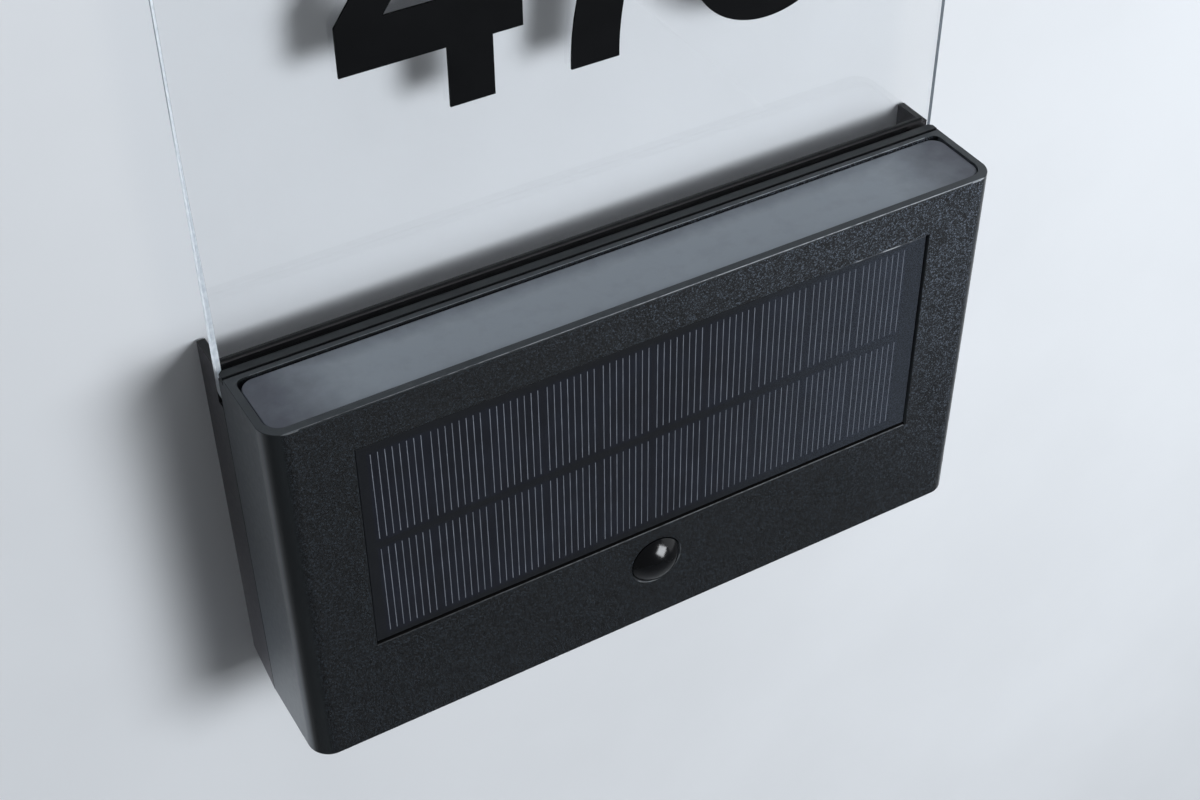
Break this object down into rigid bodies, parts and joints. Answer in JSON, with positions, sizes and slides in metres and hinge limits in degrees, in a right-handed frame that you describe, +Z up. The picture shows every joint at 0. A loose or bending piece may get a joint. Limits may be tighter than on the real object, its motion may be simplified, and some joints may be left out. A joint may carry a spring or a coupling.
{
  "type": "solar house number light",
  "caption": "Wall-hung solar light with a motion sensor and a lit strip that shines up through a clear plate of house numerals.",
  "frame": {"origin": "centre of the four wall screws, on the plane of the house wall", "axes": "+X to the right as a visitor sees it, +Y into the wall, +Z up"},
  "size_m": [0.18, 0.039, 0.2406],
  "materials": {
    "bracket_black": "satin moulded",
    "soft_pad": "matte",
    "clear_acrylic": "polished clear sheet",
    "numeral_black": "matte film",
    "housing_black": "fine grained face, satin rims and sides",
    "cover_black": "satin moulded",
    "seal_rubber": "matte",
    "screw_steel": "plain",
    "panel_laminate": "clear laminate",
    "solar_cell": "dark blue silicon with fine pale fingers",
    "panel_backing": "plain laminate board",
    "foam_tape": "foam",
    "frosted_diffuser": "frosted translucent",
    "tray_white": "matte white",
    "led_board_white": "solder mask",
    "led_yellow": "phosphor face",
    "sensor_lens": "glossy dark lens",
    "ring_black": "plain",
    "can_metal": "plain can",
    "board_green": "solder mask",
    "component_black": "plain",
    "holder_black": "plain",
    "battery_wrap": "shrink wrap",
    "contact_steel": "plated",
    "switch_black": "plain",
    "switch_knob": "ribbed",
    "lead_red": "thin insulated lead"
  },
  "bodies": {
    "bracket": {"wall_bracket": "bracket_black", "plate_pads": "soft_pad"},
    "lamp": {"front_housing": "housing_black", "rear_cover": "cover_black", "cover_gasket": "seal_rubber", "cover_screws": "screw_steel", "panel_face": "panel_laminate", "panel_cells": "solar_cell", "panel_board": "panel_backing", "panel_tape": "foam_tape", "diffuser": "frosted_diffuser", "diffuser_seal": "seal_rubber", "reflector_tray": "tray_white", "led_board": "led_board_white", "leds": "led_yellow", "sensor_dome": "sensor_lens", "sensor_clamp_ring": "ring_black", "pir_sensor": "can_metal", "control_board": "board_green", "board_screws": "screw_steel", "board_components": "component_black", "battery_holder": "holder_black", "battery_cell": "battery_wrap", "battery_contacts": "contact_steel", "switch_body": "switch_black", "panel_leads": "lead_red", "led_leads": "lead_red", "battery_leads": "lead_red", "switch_leads": "lead_red"},
    "plate": {"number_plate": "clear_acrylic", "numeral_left": "numeral_black", "numeral_middle": "numeral_black", "numeral_right": "numeral_black"},
    "switch": {"switch_slider": "switch_knob"}
  },
  "joints": [
    {"name": "plate_lift", "type": "slide", "parent": "bracket", "child": "plate", "axis": [0, 0, 1], "range_m": [0, 0.014]},
    {"name": "lamp_lift", "type": "slide", "parent": "bracket", "child": "lamp", "axis": [0, 0, 1], "range_m": [0, 0.0056]},
    {"name": "switch_slide", "type": "slide", "parent": "lamp", "child": "switch", "axis": [1, 0, 0], "range_m": [0, 0.003]}
  ]
}
